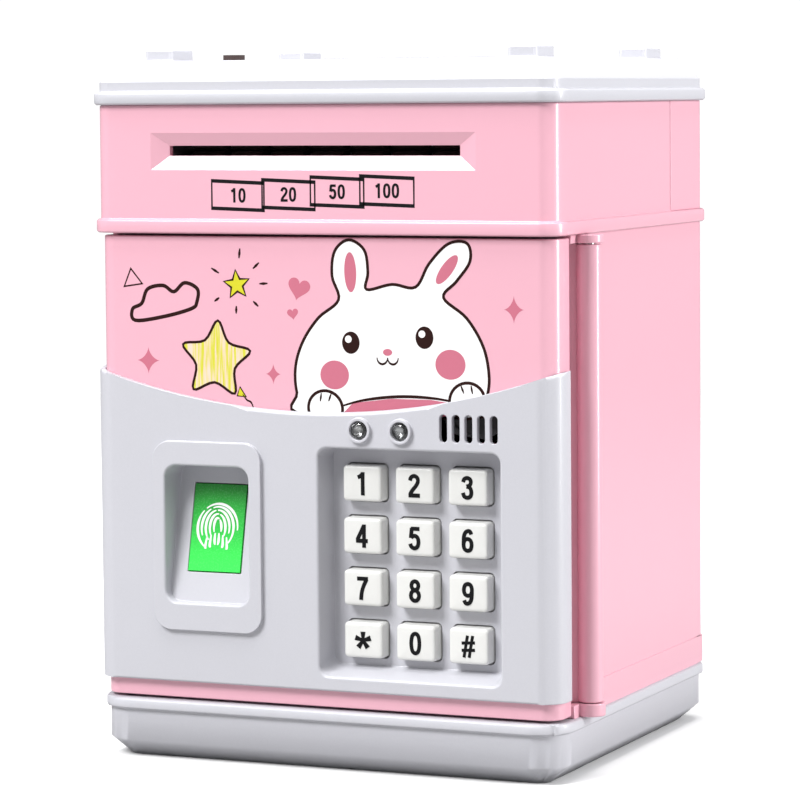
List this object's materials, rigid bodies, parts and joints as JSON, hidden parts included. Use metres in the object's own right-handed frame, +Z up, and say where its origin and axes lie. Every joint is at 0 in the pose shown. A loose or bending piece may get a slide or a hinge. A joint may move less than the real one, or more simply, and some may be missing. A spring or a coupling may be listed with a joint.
{
  "type": "toy safe coin bank",
  "caption": "Toy safe money box with a hinged keypad door, a finger pad, a motor-driven note slot and a coin slot in the cap.",
  "frame": {"origin": "centre of the underside of the base", "axes": "+Z up, the door faces -Y, the hinge is on the +X side"},
  "size_m": [0.1395, 0.12, 0.1893],
  "materials": {
    "pink_plastic": "satin moulded",
    "grey_plastic": "satin moulded",
    "key_plastic": "satin moulded",
    "inner_plastic": "matte moulded",
    "gear_plastic": "natural",
    "dark_plastic": "matte",
    "dark_rubber": "matte",
    "steel": "zinc plated",
    "cell_jacket": "printed sleeve",
    "wire_jacket": "PVC",
    "board": "solder mask",
    "lamp_lens": "clear",
    "green_pad": "printed, clear coated"
  },
  "bodies": {
    "case": {"base_tray": "grey_plastic", "battery_box": "inner_plastic", "battery_cells": "cell_jacket", "battery_contacts": "steel", "battery_cover": "grey_plastic", "battery_cover_screw": "steel", "base_screws": "steel", "lower_housing": "pink_plastic", "hinge_pin": "steel", "strike_plate": "steel", "mechanism_deck": "inner_plastic", "deck_screws": "steel", "upper_housing": "pink_plastic", "upper_rear_cover": "pink_plastic", "rear_cover_screws": "steel", "top_cap": "grey_plastic", "cap_screws": "steel", "coin_chute": "inner_plastic", "lower_note_guide": "inner_plastic", "upper_note_guide": "inner_plastic", "roller_bracket_left": "inner_plastic", "roller_bracket_right": "inner_plastic", "gearbox_cover": "inner_plastic", "feed_motor": "steel", "pressure_springs": "steel", "wire_harness": "wire_jacket", "button_board": "board"},
    "door": {"door_shell": "pink_plastic", "door_panel": "grey_plastic", "door_back_cover": "pink_plastic", "door_cover_screws": "steel", "keypad_mat": "dark_rubber", "main_board": "board", "speaker": "dark_plastic", "led_lenses": "lamp_lens", "finger_board": "board", "latch_solenoid": "steel"},
    "latch_bolt": {"latch_bolt": "steel"},
    "finger_pad": {"finger_pad": "green_pad"},
    "top_button": {"top_button": "dark_rubber"},
    "feed_roller": {"feed_shaft": "steel", "feed_tyres": "dark_rubber", "feed_gear": "gear_plastic"},
    "pressure_roller": {"pressure_shaft": "steel", "pressure_tyres": "dark_rubber"},
    "second_gear": {"second_gear": "gear_plastic"},
    "first_gear": {"first_gear": "gear_plastic"},
    "motor_pinion": {"motor_pinion": "gear_plastic"},
    "key_1": {"key_1": "key_plastic"},
    "key_2": {"key_2": "key_plastic"},
    "key_3": {"key_3": "key_plastic"},
    "key_4": {"key_4": "key_plastic"},
    "key_5": {"key_5": "key_plastic"},
    "key_6": {"key_6": "key_plastic"},
    "key_7": {"key_7": "key_plastic"},
    "key_8": {"key_8": "key_plastic"},
    "key_9": {"key_9": "key_plastic"},
    "key_star": {"key_star": "key_plastic"},
    "key_0": {"key_0": "key_plastic"},
    "key_hash": {"key_hash": "key_plastic"}
  },
  "joints": [
    {"name": "door_hinge", "type": "hinge", "parent": "case", "child": "door", "pos_m": [0.0682, -0.0402, 0.078], "axis": [0, 0, 1], "range_deg": [0, 120]},
    {"name": "latch_slide", "type": "slide", "parent": "door", "child": "latch_bolt", "axis": [-1, 0, 0], "range_m": [0, 0.005]},
    {"name": "finger_press", "type": "slide", "parent": "door", "child": "finger_pad", "axis": [0, 0.9759, -0.2181], "range_m": [0, 0.0008], "stiffness_N_per_m": 900, "springref_m": -0.0004},
    {"name": "top_button_press", "type": "slide", "parent": "case", "child": "top_button", "axis": [0, 0, -1], "range_m": [0, 0.001], "stiffness_N_per_m": 600, "springref_m": -0.0004},
    {"name": "feed_spin", "type": "hinge", "parent": "case", "child": "feed_roller", "pos_m": [0, -0.045, 0.15745], "axis": [1, 0, 0], "continuous": true},
    {"name": "second_gear_spin", "type": "hinge", "parent": "case", "child": "second_gear", "pos_m": [0.05, -0.0324, 0.15745], "axis": [1, 0, 0], "continuous": true},
    {"name": "first_gear_spin", "type": "hinge", "parent": "case", "child": "first_gear", "pos_m": [0.054, -0.018, 0.15745], "axis": [1, 0, 0], "continuous": true},
    {"name": "pinion_spin", "type": "hinge", "parent": "case", "child": "motor_pinion", "pos_m": [0.05, -0.0042, 0.15745], "axis": [1, 0, 0], "continuous": true},
    {"name": "pressure_spin", "type": "hinge", "parent": "case", "child": "pressure_roller", "pos_m": [0, -0.045, 0.16695], "axis": [1, 0, 0], "continuous": true},
    {"name": "key_1_press", "type": "slide", "parent": "door", "child": "key_1", "axis": [0, 1, 0], "range_m": [0, 0.0008], "stiffness_N_per_m": 700, "springref_m": -0.0004},
    {"name": "key_2_press", "type": "slide", "parent": "door", "child": "key_2", "axis": [0, 1, 0], "range_m": [0, 0.0008], "stiffness_N_per_m": 700, "springref_m": -0.0004},
    {"name": "key_3_press", "type": "slide", "parent": "door", "child": "key_3", "axis": [0, 1, 0], "range_m": [0, 0.0008], "stiffness_N_per_m": 700, "springref_m": -0.0004},
    {"name": "key_4_press", "type": "slide", "parent": "door", "child": "key_4", "axis": [0, 1, 0], "range_m": [0, 0.0008], "stiffness_N_per_m": 700, "springref_m": -0.0004},
    {"name": "key_5_press", "type": "slide", "parent": "door", "child": "key_5", "axis": [0, 1, 0], "range_m": [0, 0.0008], "stiffness_N_per_m": 700, "springref_m": -0.0004},
    {"name": "key_6_press", "type": "slide", "parent": "door", "child": "key_6", "axis": [0, 1, 0], "range_m": [0, 0.0008], "stiffness_N_per_m": 700, "springref_m": -0.0004},
    {"name": "key_7_press", "type": "slide", "parent": "door", "child": "key_7", "axis": [0, 1, 0], "range_m": [0, 0.0008], "stiffness_N_per_m": 700, "springref_m": -0.0004},
    {"name": "key_8_press", "type": "slide", "parent": "door", "child": "key_8", "axis": [0, 1, 0], "range_m": [0, 0.0008], "stiffness_N_per_m": 700, "springref_m": -0.0004},
    {"name": "key_9_press", "type": "slide", "parent": "door", "child": "key_9", "axis": [0, 1, 0], "range_m": [0, 0.0008], "stiffness_N_per_m": 700, "springref_m": -0.0004},
    {"name": "key_star_press", "type": "slide", "parent": "door", "child": "key_star", "axis": [0, 1, 0], "range_m": [0, 0.0008], "stiffness_N_per_m": 700, "springref_m": -0.0004},
    {"name": "key_0_press", "type": "slide", "parent": "door", "child": "key_0", "axis": [0, 1, 0], "range_m": [0, 0.0008], "stiffness_N_per_m": 700, "springref_m": -0.0004},
    {"name": "key_hash_press", "type": "slide", "parent": "door", "child": "key_hash", "axis": [0, 1, 0], "range_m": [0, 0.0008], "stiffness_N_per_m": 700, "springref_m": -0.0004}
  ],
  "couplings": [
    {"joint": "second_gear_spin", "follows": "first_gear_spin", "ratio": -0.33333},
    {"joint": "feed_spin", "follows": "first_gear_spin", "ratio": 0.13333},
    {"joint": "pinion_spin", "follows": "first_gear_spin", "ratio": -3.6},
    {"joint": "pressure_spin", "follows": "first_gear_spin", "ratio": -0.15873}
  ]
}
